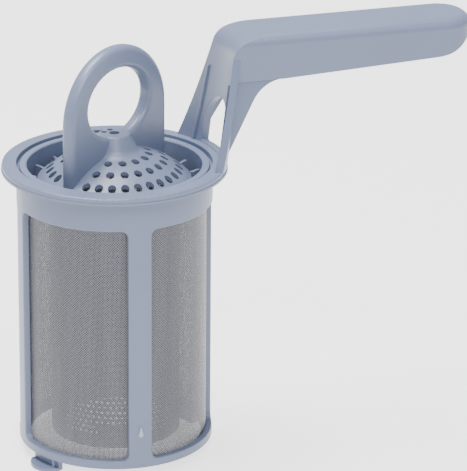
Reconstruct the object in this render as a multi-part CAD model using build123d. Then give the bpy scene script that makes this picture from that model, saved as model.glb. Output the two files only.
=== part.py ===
from build123d import *

import math
import os

# Filter of a dishwasher sump, in millimetres and degrees.
# +Z is the filter's axis, pointing up. The origin lies on that axis, in the plane of
# the undersides of the two bayonet lugs. The handle points along +X.

# Bayonet lugs under the base ring
lug_overhang = 3.5
lug_side_inset = 0.5
lug_plate_thickness = 1.5
lug_gap = 3.3
lug_turn = -155.1
lug_half_angle = 11.5
lug_neck_wall = 2.2
lug_rib_turn = 8.2
lug_rib_thickness = 1.1
lug_count = 2

# Cage: base ring, four bars and collar
cage_radius = 39.1
base_ring_height = 3.3
base_ring_ledge = 1.9
bar_count = 4
bars_turn = -1.4
bar_width = 9.3
bar_thickness = 2.4
window_height = 97.3
window_corner = 3.0
window_edge_rounding = 0.5
collar_height = 12.8
mesh_seat_floor = 1.1

# Flange round the mouth
flange_overhang = 5.9
flange_thickness = 2.8
flange_rounding = 0.6
flange_lip_reach = 0.3
flange_lip_thickness = 0.9
recess_step = 2.3
recess_floor = 0.5

# Raised pointer on the front bar
pointer_length = 4.8
pointer_width = 2.0
pointer_height = 0.6
pointer_level = 13.4
pointer_bar = 3

# Mesh sleeve
mesh_wall = 0.4
mesh_clearance = 0.05
mesh_top_gap = 3.3

# Guide ring pressed into the mouth
guide_groove = 1.1
guide_head_drop = 0.6
guide_skirt_wall = 1.4
guide_skirt_margin = 0.2
guide_edge_rounding = 0.7
rib_count = 18
rib_thickness = 1.3
rib_reach = 3.6
rib_top_drop = 7.4
rib_top_slope = 1.0
rib_foot_depth = 1.0
rib_ledge = 2.3
rib_underside_slope = 3.0

# Coarse filter: head with dome, boss and pull loop
dome_sphere = 43.9
dome_wall = 1.6
head_rim_clearance = 0.6
head_rim_band = 1.5
head_seat_clearance = 0.2
boss_foot_radius = 9.6
boss_taper = 3.4
boss_height = 7.3
boss_foot_fillet = 5.0
boss_top_fillet = 1.2
boss_centre_hole = 4.2
boss_side_hole = 2.4
boss_side_hole_inset = 2.0
boss_side_hole_turns = (98.0, 150.0)
dome_hole = 3.3
dome_row_insets = (4.9, 10.8, 17.0)
dome_row_counts = (31, 22, 15)
dome_row_turns = (-131.5, -127.3, -116.6)
loop_turn = 31.9
loop_thickness = 6.3
loop_inset = 2.4
loop_arch_turn = 180.0
loop_leg_height = 26.5
loop_arch_height = 28.1
loop_side_width = 10.7
loop_top_width = 9.0
finger_half_height = 13.9
loop_edge_flat = 0.45
finger_edge_flat = 0.95

# Coarse filter: perforated tube
tube_inset = 4.6
tube_wall = 0.6
tube_clearance = 0.1
tube_foot_level = 3.4
tube_tuck = 5.5
socket_wall = 1.8

# Handle: leaning web, side walls and hollow grip
web_inset = 3.0
web_lean = 0.115
web_wall = 2.9
wing_foot_half_width = 25.0
wing_top_inset = 0.3
wing_drop = 7.5
arch_half_width = 12.8
arch_foot_level = 0.4
arch_height = 21.8
arch_corner = 1.0
side_foot_half_width = 17.3
side_top_inset = 0.5
side_wall = 2.0
side_run_setback = 2.4
side_run_spread = 15.6
side_run_radius = 15.0
side_run_tail = 9.0
bead_foot_offset = 0.5
bead_top_offset = 1.2
bead_width = 1.2
bead_height = 0.8
grip_level = 50.5
grip_depth = 18.1
grip_end = 148.5
grip_half_width = 13.5
grip_wall = 2.2
grip_top_wall = 2.4
grip_rise = 2.9
grip_edge_fillet = 4.2
grip_end_flat = 1.5
grip_tip_length = 16.9
bend_drop = 9.5
bend_spread = 24.0

# Levels worked out from the sizes above
base_ring_z = lug_gap + lug_plate_thickness
window_z = base_ring_z + base_ring_height
mesh_seat_z = base_ring_z + mesh_seat_floor
collar_z = window_z + window_height
flange_z = collar_z + collar_height
flange_top = flange_z + flange_thickness
recess_z = flange_z + recess_floor
lip_z = flange_z + flange_lip_thickness
mesh_top = recess_z - mesh_top_gap
grip_top = flange_top + grip_level
grip_underside = grip_top - grip_depth
wing_top = grip_top - wing_drop
bend_start = grip_level - bend_drop

# Radii of the cage, worked out from the sizes above
cage_bore = cage_radius - bar_thickness
base_ring_bore = cage_bore - base_ring_ledge
flange_radius = cage_radius + flange_overhang
recess_radius = cage_bore + recess_step
lug_plate_radius = cage_radius + lug_overhang
lug_side_radius = cage_radius - lug_side_inset
mesh_radius = cage_bore - mesh_clearance

# Radii of the guide ring, which fits inside the mesh
guide_head_radius = recess_radius - guide_groove
guide_skirt_radius = mesh_radius - mesh_wall - mesh_clearance
guide_bore = guide_skirt_radius - guide_skirt_wall
rib_radius = guide_bore - rib_reach

# Radii of the coarse filter, which fits inside the guide ribs
head_radius = rib_radius - head_rim_clearance
tube_radius = head_radius - tube_inset
socket_bore = tube_radius + tube_clearance
socket_radius = socket_bore + socket_wall
boss_top_radius = boss_foot_radius - boss_taper
boss_side_hole_ring = boss_top_radius - boss_side_hole_inset

# Pull loop and its finger hole
loop_half_width = head_radius - loop_inset
finger_half_width = loop_half_width - loop_side_width
finger_level = loop_leg_height + loop_arch_height - loop_top_width - finger_half_height
loop_edge_fillet = loop_thickness / 2 - loop_edge_flat
finger_edge_fillet = loop_thickness / 2 - finger_edge_flat

# Handle, which stands on the flange
web_radius = flange_radius - web_inset
wing_top_half_width = grip_half_width - wing_top_inset
side_top_half_width = grip_half_width - side_top_inset
bead_foot_half_width = side_foot_half_width + bead_foot_offset
bead_top_half_width = side_top_half_width + bead_top_offset
side_run_foot = web_radius - side_run_setback
side_run_corner = web_radius + side_run_spread
run_end = side_run_corner + side_run_tail
bend_end = web_radius + bend_spread
grip_end_rounding = grip_half_width - grip_end_flat
grip_tip_start = grip_end - grip_tip_length
handle_reach = grip_end + web_radius

# The head's rim stands on the ledges of the guide ribs
rib_top = flange_top - rib_top_drop
ledge_z = rib_top - rib_foot_depth
rib_low = ledge_z - rib_ledge - rib_underside_slope
head_rim_z = ledge_z + head_seat_clearance
head_rim_top = head_rim_z + head_rim_band
dome_centre = head_rim_top - math.sqrt(dome_sphere**2 - head_radius**2)
boss_foot_z = dome_centre + math.sqrt(dome_sphere**2 - boss_foot_radius**2)
boss_top_z = boss_foot_z + boss_height

# Room for cutting tools to reach past the faces that they cut
past = 1.0
sink = 0.4


def turned(shape, angle):
    """Turn a shape about the filter's axis."""
    return Rot(0, 0, angle) * shape


def revolved(*points):
    """Solid of revolution about Z of a closed outline of (radius, height) points."""
    return revolve(Plane.XZ * make_face(Polyline(*points, close=True)), Axis.Z)


def tube(outer, inner, low, high):
    """Plain tube about Z between two levels."""
    return revolved((inner, low), (outer, low), (outer, high), (inner, high))


def side_slab(face_edges):
    """Extrude an outline of (distance, height) across the handle, past both its sides."""
    return extrude(Plane.XZ * make_face(face_edges), wing_foot_half_width, both=True)


def web_face(level):
    """Radius of the web's inner face at a height above the flange."""
    return web_radius + web_lean * level


def bend_outline(offset):
    """Inner face of web and grip, moved outwards by an offset, as a line with a soft bend."""
    top = grip_top - offset
    lean = offset * math.hypot(1.0, web_lean)
    foot = (web_face(-flange_thickness) + lean, flange_z)
    start = (web_face(bend_start) + lean, flange_top + bend_start)
    corner = (web_face(grip_level - offset) + lean, top)
    stop = (bend_end, top)
    return [Line(foot, start), Bezier(start, corner, stop), Line(stop, (handle_reach, top))]


def inner_room(offset=0.0):
    """Solid of the space that the web leans round, up to the top of the grip."""
    line = bend_outline(offset)
    high = grip_top + past
    rest = Polyline(line[-1] @ 1, (handle_reach, high), (0, high), (0, flange_z), line[0] @ 0)
    return revolve(Plane.XZ * make_face([*line, rest]), Axis.Z)


def handle_prism(foot_half, top_half, low, high):
    """Bar along X with a trapezoid section, wide at the foot and narrow at the top."""
    right = ((foot_half, low), (top_half, high))
    left = ((-top_half, high), (-foot_half, low))
    return extrude(Plane.YZ * make_face(Polyline(*right, *left, close=True)), grip_end)


def web_block():
    """Web that rises from the flange and narrows towards the grip, still solid inside."""
    wings = handle_prism(wing_foot_half_width, wing_top_half_width, flange_top, wing_top)
    foot_half = wing_foot_half_width
    foot = handle_prism(foot_half, foot_half, flange_z + sink, flange_top)
    return inner_room(web_wall) & (wings + foot)


def side_walls():
    """Two walls behind the web that carry it into the grip."""
    high = grip_underside + side_wall
    rise = (high - flange_top) / (grip_underside - flange_top)
    top_half = side_foot_half_width + (side_top_half_width - side_foot_half_width) * rise
    outer = handle_prism(side_foot_half_width, top_half, flange_top, high)
    inner_foot = side_foot_half_width - side_wall
    inner = handle_prism(inner_foot, top_half - side_wall, flange_top, high)
    run = ((side_run_foot, flange_top), (side_run_corner, grip_underside), (run_end, grip_underside))
    turn = math.atan2(grip_underside - flange_top, side_run_corner - side_run_foot)
    edge = FilletPolyline(*run, radius=min(side_run_radius, side_run_tail / math.tan(turn / 2)))
    rest = Polyline(edge @ 1, (run_end, high), (0, high), (0, flange_top), edge @ 0)
    return (outer - inner) & side_slab([edge, rest])


def beads():
    """Two fine beads on the web's inner face, beside the side walls."""
    low = flange_top - sink
    high = grip_underside - sink
    outer = handle_prism(bead_foot_half_width, bead_top_half_width, low, high)
    inner = handle_prism(bead_foot_half_width - bead_width, bead_top_half_width - bead_width, low, high)
    return (outer - inner) & (inner_room(sink) - inner_room(-bead_height))


def grip_block(inset, low):
    """Outer form of the grip, or its hollow when it is inset from every face."""
    top = grip_top - inset * grip_top_wall / grip_wall
    half = grip_half_width - inset
    end = grip_end - inset
    corner = grip_end_rounding - inset
    plan = Polyline((0, half), (end, half), (end, -half), (0, -half), close=True)
    face = make_face(plan)
    face = fillet(face.vertices().filter_by_position(Axis.X, end, end), corner)
    return extrude(Pos(0, 0, low) * face, top - low)


def grip_side():
    """Side view of the grip, with its rising underside and swept-up tip."""
    start = (run_end, grip_underside)
    tip = (grip_tip_start, grip_underside + grip_rise)
    tip_top = (grip_end, grip_top - grip_edge_fillet)
    high = grip_top + past
    line = Line(start, tip)
    swept = (grip_end - grip_end_rounding / 2, tip[1] + grip_edge_fillet)
    tip_curve = TangentArc(tip, swept, tangent=line % 1)
    tip_end = TangentArc(tip_curve @ 1, tip_top, tangent=tip_curve % 1)
    rest = Polyline(tip_top, (grip_end, high), (0, high), (0, grip_underside), start)
    return side_slab([line, tip_curve, tip_end, rest])


def rounded_top(block, rounding):
    """Round the upper edges of a grip block, apart from its end at the axis."""
    rim = block.edges().group_by(Axis.Z)[-1]
    return fillet(rim.filter_by(lambda edge: edge.center().X > past), rounding)


def grip():
    """Outer form of the grip with rounded upper edges, still solid inside."""
    block = rounded_top(grip_block(0.0, grip_underside), grip_edge_fillet)
    return block & grip_side()


def grip_hollow():
    """Room inside the grip, open below, that leaves the web whole."""
    hollow = grip_block(grip_wall, grip_underside - past)
    return rounded_top(hollow, grip_edge_fillet - grip_wall) - inner_room(web_wall)


def stem_window():
    """Arch through the web, flat at the flange and round at the top."""
    foot = flange_top + arch_foot_level
    spring = foot + arch_height - arch_half_width
    arch = ThreePointArc(
        (arch_half_width, spring),
        (0, foot + arch_height),
        (-arch_half_width, spring),
    )
    half = arch_half_width
    sides = Polyline((-half, spring), (-half, foot), (half, foot), (half, spring))
    face = make_face([arch, sides])
    face = fillet(face.vertices().group_by(Axis.Y)[0], arch_corner)
    return extrude(Plane.YZ * face, run_end)


def handle():
    """Web, side walls, beads and grip as one hollow arm."""
    arm = grip() + web_block() + side_walls() - grip_hollow() - inner_room()
    return arm - stem_window() + beads()


def window_edges(shell):
    """Edges of the windows on the outer face of the cage."""
    faces = shell.faces().filter_by(GeomType.CYLINDER)
    outer = [face for face in faces if abs(face.radius - cage_radius) < sink]
    return [wire.edges() for face in outer for wire in face.inner_wires()]


def cage():
    """Base ring, bars, collar and flange with the recess for the guide ring."""
    shell = revolved(
        (base_ring_bore, base_ring_z),
        (cage_radius, base_ring_z),
        (cage_radius, flange_z),
        (flange_radius, flange_z),
        (flange_radius, lip_z),
        (flange_radius - flange_lip_reach, lip_z),
        (flange_radius - flange_lip_reach, flange_top),
        (recess_radius, flange_top),
        (recess_radius, recess_z),
        (cage_bore, recess_z),
        (cage_bore, mesh_seat_z),
        (base_ring_bore, mesh_seat_z),
    )
    shell = fillet(shell.edges().group_by(Axis.Z)[-1].sort_by(SortBy.RADIUS)[-1], flange_rounding)
    opening = tube(cage_radius + past, base_ring_bore, window_z, collar_z)
    middle = Pos(cage_radius, 0, (window_z + collar_z) / 2)
    bar = middle * Box(cage_radius, bar_width, window_height + past)
    for index in range(bar_count):
        opening -= turned(bar, bars_turn + index * 360 / bar_count)
    shell -= opening
    corners = shell.edges().filter_by(GeomType.LINE).filter_by(Axis.Z, reverse=True)
    shell = fillet(corners.filter_by_position(Axis.Z, window_z - sink, collar_z + sink), window_corner)
    return fillet(window_edges(shell), window_edge_rounding)


def lug():
    """Bayonet lug: a plate with a bowed edge on a short neck, with a stiffening rib."""
    corners = PolarLocations(lug_side_radius, 2, -lug_half_angle, 2 * lug_half_angle, endpoint=True)
    right, left = [place.position for place in corners]
    bow = ThreePointArc(right, (lug_plate_radius, 0), left)
    plate = extrude(make_face([bow, Polyline(left, (0, 0), right)]), lug_plate_thickness)
    height = base_ring_z + sink
    wedge = extrude(make_face(Polyline((0, 0), right * 2, left * 2, close=True)), height)
    bore = base_ring_bore + sink
    neck = wedge & tube(bore + lug_neck_wall, bore, 0, height)
    rib_length = cage_radius - bore - sink
    rib = Pos(bore + rib_length / 2, 0, height / 2) * Box(rib_length, lug_rib_thickness, height)
    return plate + neck + turned(rib, lug_rib_turn) - Cylinder(bore, 4 * height)


def pointer():
    """Small raised drop on one bar, pointed at the top."""
    half = pointer_width / 2
    round_end = ThreePointArc((-half, half), (0, 0), (half, half))
    tip = Polyline((half, half), (0, pointer_length), (-half, half))
    proud = cage_radius + pointer_height
    drop = extrude(Plane.YZ * make_face([round_end, tip]), proud)
    drop = drop & tube(proud, cage_radius - sink, 0, pointer_length)
    angle = bars_turn + pointer_bar * 360 / bar_count
    return turned(Pos(0, 0, base_ring_z + pointer_level) * drop, angle)


def microfilter_frame():
    """The whole moulding: cage, lugs, pointer and handle."""
    frame = cage() + handle() + pointer()
    for index in range(lug_count):
        frame += turned(lug(), lug_turn + index * 360 / lug_count)
    return frame


def micro_mesh():
    """Fine mesh sleeve, standing in the base ring and tucked up into the collar."""
    return tube(mesh_radius, mesh_radius - mesh_wall, mesh_seat_z, mesh_top)


def guide_rib():
    """One rib: it guides the coarse filter's rim and carries it on a ledge."""
    root = guide_bore + sink
    toe = rib_radius - rib_ledge
    outline = Polyline(
        (root, rib_top + rib_top_slope),
        (rib_radius, rib_top),
        (rib_radius, ledge_z),
        (toe, ledge_z),
        (toe, ledge_z - rib_ledge),
        (root, rib_low),
        close=True,
    )
    return extrude(Plane.XZ * make_face(outline), rib_thickness / 2, both=True)


def guide_ring():
    """Ring pressed into the mouth, with a skirt inside the mesh and ribs round its bore."""
    head_top = flange_top - guide_head_drop
    low = rib_low - guide_skirt_margin
    ring = revolved(
        (guide_bore, low),
        (guide_skirt_radius, low),
        (guide_skirt_radius, recess_z),
        (guide_head_radius, recess_z),
        (guide_head_radius, head_top),
        (guide_bore, head_top),
    )
    ring = fillet(ring.edges().group_by(Axis.Z)[-1], guide_edge_rounding)
    for index in range(rib_count):
        ring += turned(guide_rib(), bars_turn + index * 360 / rib_count)
    return ring


def dome_solid(inset):
    """Dome with its boss as a full solid, or its hollow when it is inset by the wall."""
    radius = dome_sphere - inset
    rim = head_radius - inset
    foot = boss_foot_radius - inset
    low = head_rim_z - (past if inset else 0.0)
    rim_z = dome_centre + math.sqrt(radius**2 - rim**2)
    foot_z = dome_centre + math.sqrt(radius**2 - foot**2)
    middle = (rim + foot) / 2
    middle_z = dome_centre + math.sqrt(radius**2 - middle**2)
    top = (boss_top_radius - inset, boss_top_z - inset)
    boss = Polyline((0, low), (0, top[1]), top, (foot, foot_z))
    skin = ThreePointArc((foot, foot_z), (middle, middle_z), (rim, rim_z))
    band = Polyline((rim, rim_z), (rim, low), (0, low))
    face = make_face([boss, skin, band])
    corner = face.vertices().filter_by_position(Axis.X, foot - sink, foot + sink)
    face = fillet(corner, boss_foot_fillet)
    if not inset:
        corner = face.vertices().filter_by_position(Axis.X, top[0] - sink, top[0] + sink)
        face = fillet(corner, boss_top_fillet)
    return revolve(Plane.XZ * face, Axis.Z)


def dome_holes():
    """Drain holes through dome and boss, left out where the loop stands over them."""
    drill = Pos(0, 0, head_rim_z) * Cylinder(
        dome_hole / 2, boss_height + dome_sphere, align=(Align.CENTER, Align.CENTER, Align.MIN)
    )
    keep_out = (loop_thickness + dome_hole) / 2 + sink
    holes = []
    for inset, count, phase in zip(dome_row_insets, dome_row_counts, dome_row_turns):
        radius = head_radius - inset
        if radius - dome_hole / 2 < boss_foot_radius:
            continue
        for index in range(count):
            angle = phase + index * 360 / count
            off_loop = radius * abs(math.sin(math.radians(angle - loop_turn)))
            if off_loop > keep_out:
                holes.append(turned(Pos(radius, 0, 0) * drill, angle))
    return holes


def boss_holes():
    """Vent holes through the flat top of the boss."""
    depth = 2 * dome_wall + past
    holes = [Pos(0, 0, boss_top_z) * Cylinder(boss_centre_hole / 2, depth)]
    for angle in boss_side_hole_turns:
        hole = Pos(boss_side_hole_ring, 0, boss_top_z) * Cylinder(boss_side_hole / 2, depth)
        holes.append(turned(hole, angle))
    return holes


def pull_loop():
    """Pull loop: two straight legs under a half ellipse, with an oval finger hole."""
    arch_z = head_rim_top + loop_leg_height
    centre = (0, arch_z)
    arch = EllipticalCenterArc(centre, loop_half_width, loop_arch_height, arc_size=loop_arch_turn)
    legs = Polyline(
        (-loop_half_width, arch_z),
        (-loop_half_width, head_rim_top),
        (loop_half_width, head_rim_top),
        (loop_half_width, arch_z),
    )
    plate = extrude(Plane.XZ * make_face([arch, legs]), loop_thickness / 2, both=True)
    faces = plate.faces().filter_by(Axis.Y)
    rim = [edge for edge in faces.edges() if edge.center().Z > head_rim_top + sink]
    plate = fillet(rim, loop_edge_fillet)
    finger = Pos(0, head_rim_top + finger_level) * Ellipse(finger_half_width, finger_half_height)
    hole = extrude(Plane.XZ * finger, loop_thickness, both=True)
    plate -= hole
    faces = plate.faces().filter_by(Axis.Y)
    lip = [wire.edges() for face in faces for wire in face.inner_wires()]
    plate = fillet([edge for edges in lip for edge in edges], finger_edge_fillet)
    return turned(plate, loop_turn)


def coarse_filter_head():
    """Moulded head: perforated dome, boss, pull loop and the socket of the tube."""
    hollow = dome_solid(dome_wall)
    solid = dome_solid(0.0) + pull_loop()
    head = solid - hollow
    socket_low = head_rim_top - tube_tuck
    socket = tube(socket_radius, socket_bore, socket_low, boss_foot_z) & dome_solid(sink)
    lower = tube(socket_radius, socket_bore, socket_low, head_rim_z + sink)
    head = head + socket + lower
    return head - dome_holes() - boss_holes()


def coarse_filter_tube():
    """Perforated sheet tube, held by its upper edge in the head's socket."""
    high = head_rim_top
    return tube(tube_radius, tube_radius - tube_wall, base_ring_z + tube_foot_level, high)


os.makedirs("parts", exist_ok=True)
export_step(microfilter_frame(), "parts/microfilter_frame.step")
export_step(micro_mesh(), "parts/micro_mesh.step")
export_step(guide_ring(), "parts/guide_ring.step")
export_step(coarse_filter_head(), "parts/coarse_filter_head.step")
export_step(coarse_filter_tube(), "parts/coarse_filter_tube.step")
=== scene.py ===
"""Looks of the dishwasher filter: finishes, woven sleeve, perforated tube and studio.

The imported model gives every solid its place. This script dresses the moulded pieces in
grey-blue plastic, gives the sleeve its weave, builds the finely perforated tube and sets
the light, the floor and the camera.
"""

import logging
import math
from dataclasses import dataclass, field
from enum import Enum

import bpy
from mathutils import Matrix, Vector


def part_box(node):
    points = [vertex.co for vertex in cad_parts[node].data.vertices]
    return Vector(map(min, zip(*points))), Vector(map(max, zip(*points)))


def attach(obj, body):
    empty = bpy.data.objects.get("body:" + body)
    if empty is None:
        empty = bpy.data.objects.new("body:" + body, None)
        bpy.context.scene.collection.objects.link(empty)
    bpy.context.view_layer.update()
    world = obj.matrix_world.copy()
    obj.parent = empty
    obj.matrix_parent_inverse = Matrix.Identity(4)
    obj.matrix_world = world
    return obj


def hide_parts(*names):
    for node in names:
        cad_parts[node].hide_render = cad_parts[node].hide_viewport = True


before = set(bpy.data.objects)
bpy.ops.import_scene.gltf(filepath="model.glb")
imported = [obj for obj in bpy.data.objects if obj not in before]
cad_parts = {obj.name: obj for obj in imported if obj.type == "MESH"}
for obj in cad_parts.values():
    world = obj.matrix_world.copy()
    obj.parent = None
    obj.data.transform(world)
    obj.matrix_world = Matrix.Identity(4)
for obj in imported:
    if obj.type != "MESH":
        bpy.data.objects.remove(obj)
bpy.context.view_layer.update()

log = logging.getLogger("dishwasher_filter")

MM = 0.001

# Rows of holes in one band of the tube, at the two rims of its middle ring.
ROWS_PER_BAND = 2

Colour = tuple[float, float, float, float]
Place = tuple[float, float, float]
Source = float | Place | Colour | bpy.types.Node | bpy.types.NodeSocket


class Body(Enum):
    """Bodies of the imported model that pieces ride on."""

    MICROFILTER = "microfilter"
    COARSE_FILTER = "coarse_filter"


class Node(Enum):
    """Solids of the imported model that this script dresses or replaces."""

    FRAME = "microfilter_frame"
    SLEEVE = "micro_mesh"
    GUIDE_RING = "guide_ring"
    HEAD = "coarse_filter_head"
    TUBE = "coarse_filter_tube"


class Pick(Enum):
    """Kinds of mesh parts that an edit picks."""

    VERTEX = "VERT"
    EDGE = "EDGE"
    FACE = "FACE"


def make_active(obj: bpy.types.Object) -> None:
    """Select one object alone and make it the active one.

    Args:
        obj: The object to work on.
    """
    deselect_all()
    obj.select_set(True)
    bpy.context.view_layer.objects.active = obj


def deselect_all() -> None:
    """Leave edit mode and deselect every object."""
    if bpy.context.mode != "OBJECT":
        bpy.ops.object.mode_set(mode="OBJECT")
    bpy.ops.object.select_all(action="DESELECT")


def unpick_all(obj: bpy.types.Object, kind: Pick) -> None:
    """Deselect all of an object's mesh, and choose the kind of part to pick next.

    Args:
        obj: The object whose mesh is to be edited.
        kind: The kind of part to pick.
    """
    make_active(obj)
    bpy.ops.object.mode_set(mode="EDIT")
    bpy.ops.mesh.select_mode(type=kind.value)
    bpy.ops.mesh.select_all(action="DESELECT")
    bpy.ops.object.mode_set(mode="OBJECT")


def apply_modifier(obj: bpy.types.Object, modifier: bpy.types.Modifier) -> None:
    """Apply one modifier of an object.

    Args:
        obj: The object that carries the modifier.
        modifier: The modifier to apply.
    """
    make_active(obj)
    bpy.ops.object.modifier_apply(modifier=modifier.name)


def settle(obj: bpy.types.Object) -> None:
    """Put an object's place into its mesh, so that the object sits at the origin.

    Args:
        obj: The object to settle.
    """
    make_active(obj)
    bpy.ops.object.transform_apply(location=True, rotation=True, scale=True)


def smooth_by_angle(obj: bpy.types.Object, degrees: float) -> None:
    """Shade an object smooth, apart from edges sharper than an angle.

    Args:
        obj: The object to shade.
        degrees: Sharpest angle that is still shaded smooth.
    """
    make_active(obj)
    bpy.ops.object.shade_smooth_by_angle(angle=math.radians(degrees))


def dress(obj: bpy.types.Object, material: bpy.types.Material) -> None:
    """Give an object one material in place of all that it has.

    Args:
        obj: The object to dress.
        material: Its new material.
    """
    obj.data.materials.clear()
    obj.data.materials.append(material)


def direction(azimuth: float, elevation: float) -> Vector:
    """Find the direction of an azimuth and an elevation.

    Args:
        azimuth: Turn about the upright axis from +X, in degrees.
        elevation: Rise above the floor, in degrees.

    Returns:
        The direction, one unit long.
    """
    turn = math.radians(azimuth)
    rise = math.radians(elevation)
    level = math.cos(rise)
    return Vector((level * math.cos(turn), level * math.sin(turn), math.sin(rise)))


class NodeBuilder:
    """Short way to add and join the nodes of one material."""

    def __init__(self, name: str) -> None:
        """Start a node material that holds a shader and its output.

        Args:
            name: The material's name.
        """
        self.material = bpy.data.materials.new(name)
        self.material.use_nodes = True
        self.tree = self.material.node_tree
        self.tree.nodes.clear()
        self.shader = self.add("ShaderNodeBsdfPrincipled")
        self.feed(self.add("ShaderNodeOutputMaterial"), "Surface", self.shader)

    def add(self, kind: str, **settings: object) -> bpy.types.Node:
        """Add a node and set its properties.

        Args:
            kind: Blender's name of the node type.
            **settings: Properties of the node.

        Returns:
            The new node.
        """
        node = self.tree.nodes.new(kind)
        for key, value in settings.items():
            setattr(node, key, value)
        return node

    def feed(self, target: bpy.types.Node, entry: str | int, source: Source) -> None:
        """Give an input a constant, or link a value to it.

        Args:
            target: Node that takes the value.
            entry: Name or number of its input.
            source: A constant, an output, or a node whose first output is meant.
        """
        if isinstance(source, bpy.types.Node):
            source = source.outputs[0]
        if isinstance(source, bpy.types.NodeSocket):
            self.tree.links.new(source, target.inputs[entry])
        else:
            target.inputs[entry].default_value = source

    def math(self, operation: str, *values: Source) -> bpy.types.Node:
        """Add a math node.

        Args:
            operation: The operation's name.
            *values: The values that it works on, in their order.

        Returns:
            The new math node.
        """
        node = self.add("ShaderNodeMath", operation=operation)
        for index, value in enumerate(values):
            self.feed(node, index, value)
        return node

    def place(self) -> bpy.types.NodeSocket:
        """Add the object's own coordinates.

        Returns:
            The output that gives them.
        """
        return self.add("ShaderNodeTexCoord").outputs["Object"]

    def axes(self, place: Source) -> dict[str, bpy.types.NodeSocket]:
        """Split coordinates into their three values.

        Args:
            place: The coordinates.

        Returns:
            The outputs that give the values, by the axis's letter.
        """
        node = self.add("ShaderNodeSeparateXYZ")
        self.feed(node, "Vector", place)
        return {axis: node.outputs[axis] for axis in "XYZ"}

    def reach(self, place: Source) -> bpy.types.NodeSocket:
        """Measure the distance from the filter's axis.

        Args:
            place: The object's own coordinates.

        Returns:
            The output that gives the distance, in metres.
        """
        flat = self.add("ShaderNodeVectorMath", operation="MULTIPLY")
        self.feed(flat, 0, place)
        self.feed(flat, 1, (1.0, 1.0, 0.0))
        length = self.add("ShaderNodeVectorMath", operation="LENGTH")
        self.feed(length, 0, flat)
        return length.outputs["Value"]

    def noise(self, place: Source, scale: float, detail: float) -> bpy.types.Node:
        """Add noise.

        Args:
            place: The coordinates that it follows.
            scale: Noise cells in one metre.
            detail: Octaves of finer noise.

        Returns:
            The noise node.
        """
        node = self.add("ShaderNodeTexNoise")
        self.feed(node, "Scale", scale)
        self.feed(node, "Detail", detail)
        self.feed(node, "Vector", place)
        return node

    def spread(self, value: Source, low: float, high: float) -> bpy.types.Node:
        """Map a value between nought and one to a range.

        Args:
            value: The value.
            low: Result at nought.
            high: Result at one.

        Returns:
            The map range node.
        """
        node = self.add("ShaderNodeMapRange")
        self.feed(node, "To Min", low)
        self.feed(node, "To Max", high)
        self.feed(node, "Value", value)
        return node

    def blend(self, factor: Source, first: Source, second: Source) -> bpy.types.NodeSocket:
        """Blend two colours.

        Args:
            factor: Share of the second colour.
            first: First colour.
            second: Second colour.

        Returns:
            The output that gives the blend.
        """
        node = self.add("ShaderNodeMix", data_type="RGBA")
        self.feed(node, "Factor", factor)
        self.feed(node, "A", first)
        self.feed(node, "B", second)
        return node.outputs["Result"]

    def roughen(self, value: Source, roughness: float, spread: float) -> None:
        """Let the shader's roughness follow a value between nought and one.

        Args:
            value: The value.
            roughness: Roughness at the middle.
            spread: Change of roughness to either side.
        """
        varied = self.spread(value, roughness - spread, roughness + spread)
        self.feed(self.shader, "Roughness", varied)

    def bump(self, height: Source, distance: float, strength: float) -> bpy.types.Node:
        """Drive the shader's normal by a height.

        Args:
            height: The height, from nought to one.
            distance: Real height of the relief, in metres.
            strength: Strength of the relief.

        Returns:
            The bump node.
        """
        node = self.add("ShaderNodeBump")
        self.feed(node, "Distance", distance)
        self.feed(node, "Strength", strength)
        self.feed(node, "Height", height)
        self.feed(self.shader, "Normal", node)
        return node


@dataclass(frozen=True)
class MouldedPlastic:
    """Satin grey-blue plastic with a faint grain, slight shade changes and a painted highlight on
    the raised pointer.
    """

    name: str = "moulded_plastic"
    shade: Colour = (0.108, 0.132, 0.204, 1.0)
    pale_shade: Colour = (0.126, 0.152, 0.230, 1.0)
    # Painted highlight: the raised pointer is painted paler, standing in for the light that its
    # rim catches.
    pointer_highlight_shade: Colour = (0.27, 0.31, 0.40, 1.0)
    pointer_reach: float = 39.25 * MM
    pointer_levels: tuple[float, float] = (17.0 * MM, 24.0 * MM)
    refraction: float = 1.5
    roughness: float = 0.36
    roughness_spread: float = 0.06
    patch_scale: float = 28.0
    patch_detail: float = 3.0
    grain_scale: float = 2600.0
    grain_detail: float = 2.0
    grain_depth: float = 0.02 * MM
    grain_strength: float = 0.35
    edge_radius: float = 0.2 * MM
    edge_samples: int = 6

    def pointer(self, nodes: NodeBuilder, place: Source) -> bpy.types.Node:
        """Find the raised pointer by its reach from the axis and its level, for its painted
        highlight.

        Args:
            nodes: The material's nodes.
            place: The object's own coordinates.

        Returns:
            Node that is one on the pointer and nought elsewhere.
        """
        low, high = self.pointer_levels
        proud = nodes.math("GREATER_THAN", nodes.reach(place), self.pointer_reach)
        level = nodes.axes(place)["Z"]
        beside = nodes.math("COMPARE", level, (low + high) / 2, (high - low) / 2)
        return nodes.math("MULTIPLY", proud, beside)

    def build(self) -> bpy.types.Material:
        """Build the material.

        Returns:
            The finished material.
        """
        nodes = NodeBuilder(self.name)
        place = nodes.place()
        patches = nodes.noise(place, self.patch_scale, self.patch_detail)
        tint = nodes.blend(patches, self.shade, self.pale_shade)
        # Painted highlight on the raised pointer, paler than the plastic around it.
        shade = nodes.blend(self.pointer(nodes, place), tint, self.pointer_highlight_shade)
        nodes.feed(nodes.shader, "Base Color", shade)
        nodes.feed(nodes.shader, "IOR", self.refraction)
        nodes.roughen(patches, self.roughness, self.roughness_spread)
        grain = nodes.noise(place, self.grain_scale, self.grain_detail)
        relief = nodes.bump(grain, self.grain_depth, self.grain_strength)
        edge = nodes.add("ShaderNodeBevel", samples=self.edge_samples)
        nodes.feed(edge, "Radius", self.edge_radius)
        nodes.feed(relief, "Normal", edge)
        return nodes.material


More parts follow.
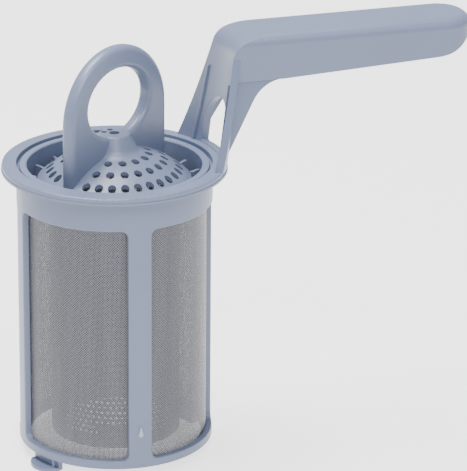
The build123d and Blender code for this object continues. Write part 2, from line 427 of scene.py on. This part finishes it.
@dataclass(frozen=True)
class WovenWire:
    """Fine plain weave of steel wire, open between the wires, with painted light and shade on its
    crossings and painted sheen along the upright wires.
    """

    name: str = "woven_wire"
    radius: float = 36.45 * MM
    inner_radius: float = 36.3 * MM
    pitch: float = 0.5 * MM
    wire_share: float = 0.66
    haze: float = 0.3
    # Painted light and shade: the same steel wire is painted dark where the upright wire lies on
    # top and pale where the level wire does, for how light falls on wires running each way.
    warp_shaded_tint: Colour = (0.03, 0.03, 0.034, 1.0)
    weft_lit_tint: Colour = (0.155, 0.155, 0.178, 1.0)
    roughness: float = 0.38
    metallic: float = 0.8
    relief: float = 0.1 * MM
    relief_strength: float = 0.5
    stray: float = 0.9
    stray_scale: float = 420.0
    stray_detail: float = 1.0
    # Painted sheen and shade along the upright wires.
    streak_scale: float = 260.0
    streak_detail: float = 3.0
    streak_stretch: float = 0.04
    streak_low: float = 0.75
    streak_high: float = 1.25

    def counts(
        self, nodes: NodeBuilder, place: Source, turn: Source, level: Source
    ) -> tuple[bpy.types.Node, bpy.types.Node]:
        """Count the wires, which stray a little from their straight course.

        Args:
            nodes: The material's nodes.
            place: The object's own coordinates.
            turn: Turn about the axis, in radians.
            level: Height, in metres.

        Returns:
            Nodes that count the upright wires and the level wires.
        """
        noise = nodes.noise(place, self.stray_scale, self.stray_detail)
        stray = nodes.math("MULTIPLY", noise, self.stray)
        wires_round = 2 * round(math.pi * self.radius / self.pitch)
        straight = nodes.math("MULTIPLY", turn, wires_round / (2 * math.pi))
        across = nodes.math("ADD", straight, stray)
        height = nodes.math("ADD", nodes.math("DIVIDE", level, self.pitch), stray)
        return across, height

    def ripple(self, nodes: NodeBuilder, count: Source) -> bpy.types.Node:
        """Wave that is one on a wire's middle and nought halfway to the next.

        Args:
            nodes: The material's nodes.
            count: The count of wires.

        Returns:
            Node that gives the wave.
        """
        return nodes.math("MULTIPLY", nodes.math("PINGPONG", count, 0.5), 2.0)

    def crossing(self, nodes: NodeBuilder, across: Source, height: Source) -> bpy.types.Node:
        """Tell crossings where the upright wire lies on top from the others.

        Args:
            nodes: The material's nodes.
            across: The count of upright wires.
            height: The count of level wires.

        Returns:
            Node that is nought or one from crossing to crossing, which picks the wire's darker or
            paler painted tint.
        """
        column = nodes.math("FLOOR", across)
        row = nodes.math("FLOOR", height)
        return nodes.math("PINGPONG", nodes.math("ADD", column, row), 1.0)

    def painted_sheen_streaks(self, nodes: NodeBuilder, turn: Source, level: Source) -> bpy.types.Node:
        """Slow painted sheen and shade, drawn out along the upright wires, standing in for light
        on the curved sleeve.

        Args:
            nodes: The material's nodes.
            turn: Turn about the axis, in radians.
            level: Height, in metres.

        Returns:
            Node that gives the factor on the shade.
        """
        place = nodes.add("ShaderNodeCombineXYZ")
        nodes.feed(place, "X", nodes.math("MULTIPLY", turn, self.radius))
        nodes.feed(place, "Y", nodes.math("MULTIPLY", level, self.streak_stretch))
        noise = nodes.noise(place, self.streak_scale, self.streak_detail)
        return nodes.spread(noise, self.streak_low, self.streak_high)

    def opacity(self, nodes: NodeBuilder, place: Source, crown: Source) -> bpy.types.Node:
        """Open the weave between its wires, and all of the sleeve's inner skin.

        Args:
            nodes: The material's nodes.
            place: The object's own coordinates.
            crown: The wires' height, from nought to one.

        Returns:
            Node that gives the opacity.
        """
        cover = nodes.math("GREATER_THAN", crown, 1.0 - self.wire_share)
        hazy = nodes.math("MAXIMUM", cover, self.haze)
        outside = nodes.math("GREATER_THAN", nodes.reach(place), self.inner_radius)
        return nodes.math("MULTIPLY", hazy, outside)

    def build(self) -> bpy.types.Material:
        """Build the material.

        Returns:
            The finished material.
        """
        nodes = NodeBuilder(self.name)
        place = nodes.place()
        axes = nodes.axes(place)
        turn = nodes.math("ARCTAN2", axes["Y"], axes["X"])
        level = axes["Z"]
        across, height = self.counts(nodes, place, turn, level)
        crown = nodes.math("MAXIMUM", self.ripple(nodes, across), self.ripple(nodes, height))
        nodes.feed(nodes.shader, "Alpha", self.opacity(nodes, place, crown))
        topmost = self.crossing(nodes, across, height)
        streaked = nodes.add("ShaderNodeVectorMath", operation="SCALE")
        # Painted light and shade on the crossings, from the two tints of one wire.
        nodes.feed(streaked, 0, nodes.blend(topmost, self.warp_shaded_tint, self.weft_lit_tint))
        # Painted sheen and shade in long upright bands.
        nodes.feed(streaked, "Scale", self.painted_sheen_streaks(nodes, turn, level))
        nodes.feed(nodes.shader, "Base Color", streaked)
        nodes.feed(nodes.shader, "Metallic", self.metallic)
        nodes.feed(nodes.shader, "Roughness", self.roughness)
        nodes.bump(crown, self.relief, self.relief_strength)
        return nodes.material


@dataclass(frozen=True)
class SheetSteel:
    """Thin perforated steel sheet with a soft brushed sheen."""

    name: str = "sheet_steel"
    shade: Colour = (0.37, 0.38, 0.40, 1.0)
    metallic: float = 0.9
    roughness: float = 0.4
    roughness_spread: float = 0.08
    brush_scale: float = 900.0
    brush_detail: float = 2.0
    relief: float = 0.01 * MM
    relief_strength: float = 0.4

    def build(self) -> bpy.types.Material:
        """Build the material.

        Returns:
            The finished material.
        """
        nodes = NodeBuilder(self.name)
        brush = nodes.noise(nodes.place(), self.brush_scale, self.brush_detail)
        nodes.roughen(brush, self.roughness, self.roughness_spread)
        nodes.feed(nodes.shader, "Base Color", self.shade)
        nodes.feed(nodes.shader, "Metallic", self.metallic)
        nodes.bump(brush, self.relief, self.relief_strength)
        return nodes.material


@dataclass(frozen=True)
class FloorPaint:
    """Pale matt light table with a faint unevenness."""

    name: str = "pale_floor"
    shade: Colour = (0.5, 0.49, 0.475, 1.0)
    roughness: float = 0.9
    roughness_spread: float = 0.04
    patch_scale: float = 6.0
    patch_detail: float = 2.0
    glow: float = 1.9
    glow_shade: Colour = (1.0, 1.0, 1.0, 1.0)

    def build(self) -> bpy.types.Material:
        """Build the material.

        Returns:
            The finished material.
        """
        nodes = NodeBuilder(self.name)
        patches = nodes.noise(nodes.place(), self.patch_scale, self.patch_detail)
        nodes.roughen(patches, self.roughness, self.roughness_spread)
        nodes.feed(nodes.shader, "Base Color", self.shade)
        nodes.feed(nodes.shader, "Emission Color", self.glow_shade)
        nodes.feed(nodes.shader, "Emission Strength", self.glow)
        return nodes.material


@dataclass
class PerforatedTube:
    """The coarse filter's tube, with staggered rows of fine round holes."""

    name: str = "perforated_tube"
    holes_per_row: int = 70
    hole_radius: float = 0.6 * MM
    hole_segments: int = 2
    round_profile: float = 0.0858
    row_pitch: float = 2.2 * MM
    level_slack: float = 0.22 * MM
    merge_distance: float = 0.055 * MM
    foot_margin: float = 6.3 * MM
    head_margin: float = 7.0 * MM
    wall: float = 0.6 * MM
    crease_angle: float = 35.0
    plain_turns: tuple[float, float] = (math.radians(-122.0), math.radians(-84.0))
    finish: SheetSteel = field(default_factory=SheetSteel)

    def levels(self) -> tuple[float, float, float]:
        """Read the plain solid's size.

        Returns:
            The tube's radius, its foot's level and its top's level.
        """
        low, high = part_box(Node.TUBE.value)
        return high[0], low[2], high[2]

    def first_row(self) -> float:
        """Find the lowest row of holes.

        Returns:
            The row's level.
        """
        return self.levels()[1] + self.foot_margin

    def bands(self) -> int:
        """Count the bands that fit between the two plain margins.

        Returns:
            Number of bands.
        """
        top = self.levels()[2]
        rows = (top - self.head_margin - self.first_row()) / self.row_pitch
        return int(rows / ROWS_PER_BAND)

    def extrude_rim(self, band: bpy.types.Object, level: float, rise: float) -> None:
        """Extrude one rim of a band upwards or downwards.

        Args:
            band: The open band.
            level: Level of the rim.
            rise: Height to extrude by, which is negative for downwards.
        """
        unpick_all(band, Pick.EDGE)
        points = band.data.vertices
        for edge in band.data.edges:
            heights = [points[index].co.z for index in edge.vertices]
            edge.select = all(abs(height - level) < self.level_slack for height in heights)
        bpy.ops.object.mode_set(mode="EDIT")
        bpy.ops.mesh.extrude_region_move(TRANSFORM_OT_translate={"value": (0, 0, rise)})
        bpy.ops.object.mode_set(mode="OBJECT")

    def holds_hole(self, point: Vector, first: float, plain: bool) -> bool:
        """Tell whether a vertex of a band is the middle of a hole.

        Args:
            point: The vertex.
            first: Level of the band's lower row.
            plain: Whether the band has no holes at its front.

        Returns:
            Whether a hole goes there.
        """
        half_rows = round((point.z - first) / self.row_pitch * 2)
        if half_rows not in (0, 2):
            return False
        turn = math.atan2(point.y, point.x)
        if plain and self.plain_turns[0] < turn < self.plain_turns[1]:
            return False
        column = round(turn * self.holes_per_row / math.pi)
        return (half_rows // 2 + column) % 2 == 0

    def open_ring(self, first: float) -> bpy.types.Object:
        """Model a band of the tube before its holes are punched.

        Args:
            first: Level of the lower row of holes.

        Returns:
            The open band of faces, with a vertex wherever a hole may go.
        """
        deselect_all()
        bpy.ops.mesh.primitive_cylinder_add(
            vertices=2 * self.holes_per_row,
            radius=self.levels()[0],
            depth=self.row_pitch,
            end_fill_type="NOTHING",
            location=(0, 0, first + self.row_pitch / 2),
        )
        band = bpy.context.active_object
        settle(band)
        self.extrude_rim(band, first + self.row_pitch, self.row_pitch / 2)
        self.extrude_rim(band, first, -self.row_pitch / 2)
        return band

    def band(self, first: float, plain: bool) -> bpy.types.Object:
        """Model a band of the tube with two rows of holes.

        Args:
            first: Level of the lower row.
            plain: Whether the band has no holes at its front.

        Returns:
            The open band of faces.
        """
        band = self.open_ring(first)
        unpick_all(band, Pick.VERTEX)
        for vertex in band.data.vertices:
            vertex.select = self.holds_hole(vertex.co, first, plain)
        bpy.ops.object.mode_set(mode="EDIT")
        bpy.ops.mesh.bevel(
            offset=self.hole_radius,
            offset_type="OFFSET",
            segments=self.hole_segments,
            profile=self.round_profile,
            affect="VERTICES",
        )
        bpy.ops.mesh.select_mode(type=Pick.FACE.value)
        bpy.ops.mesh.delete(type="FACE")
        bpy.ops.object.mode_set(mode="OBJECT")
        return band

    def stack(self) -> bpy.types.Object:
        """Stack the bands into one open tube.

        Returns:
            The open tube of faces.
        """
        first = self.first_row()
        step = ROWS_PER_BAND * self.row_pitch
        lowest = self.band(first, True)
        upper = self.band(first + step, False)
        rows = upper.modifiers.new("rows", "ARRAY")
        rows.count = self.bands() - 1
        rows.use_relative_offset = False
        rows.use_constant_offset = True
        rows.constant_offset_displace = (0, 0, step)
        apply_modifier(upper, rows)
        make_active(upper)
        lowest.select_set(True)
        bpy.ops.object.join()
        bpy.ops.object.mode_set(mode="EDIT")
        bpy.ops.mesh.select_all(action="SELECT")
        bpy.ops.mesh.remove_doubles(threshold=self.merge_distance)
        bpy.ops.mesh.normals_make_consistent(inside=False)
        bpy.ops.object.mode_set(mode="OBJECT")
        upper.name = self.name
        upper.data.name = self.name
        return upper

    def stretch_margins(self, tube: bpy.types.Object) -> None:
        """Draw the plain rims out to the foot and to the top.

        Args:
            tube: The punched tube.
        """
        foot, top = self.levels()[1:]
        points = tube.data.vertices
        lowest = min(vertex.co.z for vertex in points)
        highest = max(vertex.co.z for vertex in points)
        for vertex in points:
            if vertex.co.z < lowest + self.level_slack:
                vertex.co.z = foot
            elif vertex.co.z > highest - self.level_slack:
                vertex.co.z = top

    def build(self) -> bpy.types.Object:
        """Build the perforated tube in place of its plain solid.

        Returns:
            The finished piece.
        """
        tube = self.stack()
        self.stretch_margins(tube)
        wall = tube.modifiers.new("wall", "SOLIDIFY")
        wall.thickness = self.wall
        wall.offset = -1.0
        apply_modifier(tube, wall)
        smooth_by_angle(tube, self.crease_angle)
        dress(tube, self.finish.build())
        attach(tube, Body.COARSE_FILTER.value)
        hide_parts(Node.TUBE.value)
        return tube


@dataclass
class Mouldings:
    """The moulded solids and the woven sleeve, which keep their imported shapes."""

    plastic: MouldedPlastic = field(default_factory=MouldedPlastic)
    weave: WovenWire = field(default_factory=WovenWire)

    def build(self) -> list[bpy.types.Object]:
        """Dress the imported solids.

        Returns:
            The dressed solids.
        """
        plastic = self.plastic.build()
        moulded = [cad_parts[node.value] for node in (Node.FRAME, Node.GUIDE_RING, Node.HEAD)]
        for solid in moulded:
            dress(solid, plastic)
        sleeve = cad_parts[Node.SLEEVE.value]
        dress(sleeve, self.weave.build())
        return [*moulded, sleeve]


@dataclass(frozen=True)
class SoftLight:
    """One large area light that looks at the filter."""

    name: str
    azimuth: float
    elevation: float
    distance: float
    size: float
    power: float

    def build(self, target: Vector) -> bpy.types.Object:
        """Hang the light.

        Args:
            target: Point that the light looks at.

        Returns:
            The light.
        """
        away = direction(self.azimuth, self.elevation)
        data = bpy.data.lights.new(self.name, "AREA")
        data.shape = "DISK"
        data.size = self.size
        data.energy = self.power
        light = bpy.data.objects.new(self.name, data)
        bpy.context.scene.collection.objects.link(light)
        light.location = target + away * self.distance
        light.rotation_euler = away.to_track_quat("Z", "Y").to_euler()
        return light


OVERHEAD = SoftLight(
    name="overhead", azimuth=140.0, elevation=78.0, distance=1.3, size=0.9, power=44.0
)
FRONT = SoftLight(name="front", azimuth=-95.0, elevation=48.0, distance=1.5, size=0.8, power=18.0)


@dataclass
class Studio:
    """Pale floor, soft light and the photograph's camera."""

    photo_height: int = 471
    focal_pixels: float = 3591.44
    sensor: float = 36.0
    azimuth: float = -108.1
    elevation: float = 20.55
    roll: float = 0.42
    distance: float = 1435.62 * MM
    view_limit: float = 50.0
    look_aside: float = 47.43 * MM
    look_height: float = 89.88 * MM
    floor_size: float = 6.0
    world_shade: Colour = (0.94, 0.975, 1.06, 1.0)
    world_strength: float = 0.75
    light_target: Place = (20.0 * MM, 0.0, 90.0 * MM)
    lights: tuple[SoftLight, ...] = (OVERHEAD, FRONT)

    def back(self) -> Vector:
        """Find the direction from the filter to the camera.

        Returns:
            The direction.
        """
        return direction(self.azimuth, self.elevation)

    def aside(self) -> Vector:
        """Find the level direction to the camera's right.

        Returns:
            The direction.
        """
        return direction(self.azimuth + 90.0, 0.0)

    def look(self) -> Vector:
        """Find the point at the middle of the picture.

        Returns:
            The point.
        """
        return self.aside() * self.look_aside + Vector((0, 0, self.look_height))

    def camera_turn(self) -> Matrix:
        """Find the camera's turn, with its slight roll.

        Returns:
            The turn.
        """
        back = self.back()
        right = self.aside()
        up = back.cross(right)
        tilt = math.radians(self.roll)
        rolled_right = right * math.cos(tilt) + up * math.sin(tilt)
        rolled_up = up * math.cos(tilt) - right * math.sin(tilt)
        return Matrix((rolled_right, rolled_up, back)).transposed().to_4x4()

    def build_camera(self) -> bpy.types.Object:
        """Set up the camera at the photograph's viewing angle.

        Returns:
            The camera.
        """
        data = bpy.data.cameras.new("camera")
        data.sensor_fit = "VERTICAL"
        data.sensor_height = self.sensor
        data.lens = self.focal_pixels / self.photo_height * self.sensor
        data.clip_end = self.view_limit
        camera = bpy.data.objects.new("camera", data)
        bpy.context.scene.collection.objects.link(camera)
        place = self.look() + self.back() * self.distance
        camera.matrix_world = Matrix.Translation(place) @ self.camera_turn()
        bpy.context.scene.camera = camera
        return camera

    def build_floor(self) -> bpy.types.Object:
        """Lay the floor under the filter.

        Returns:
            The floor.
        """
        deselect_all()
        bpy.ops.mesh.primitive_plane_add(size=self.floor_size, location=(0, 0, 0))
        floor = bpy.context.active_object
        floor.name = "floor"
        dress(floor, FloorPaint().build())
        return floor

    def build_world(self) -> None:
        """Fill the room with soft white light."""
        world = bpy.data.worlds.new("studio")
        world.use_nodes = True
        backdrop = world.node_tree.nodes["Background"]
        backdrop.inputs["Color"].default_value = self.world_shade
        backdrop.inputs["Strength"].default_value = self.world_strength
        bpy.context.scene.world = world

    def build(self) -> None:
        """Build floor, light and camera."""
        self.build_world()
        self.build_floor()
        for light in self.lights:
            light.build(Vector(self.light_target))
        self.build_camera()


def main() -> None:
    """Build the filter's looks and the studio."""
    logging.basicConfig(level=logging.INFO, format="%(name)s: %(message)s")
    for solid in Mouldings().build():
        log.info("dressed %s", solid.name)
    tube = PerforatedTube().build()
    log.info("built %s with %d faces", tube.name, len(tube.data.polygons))
    Studio().build()


if __name__ == "__main__":
    main()
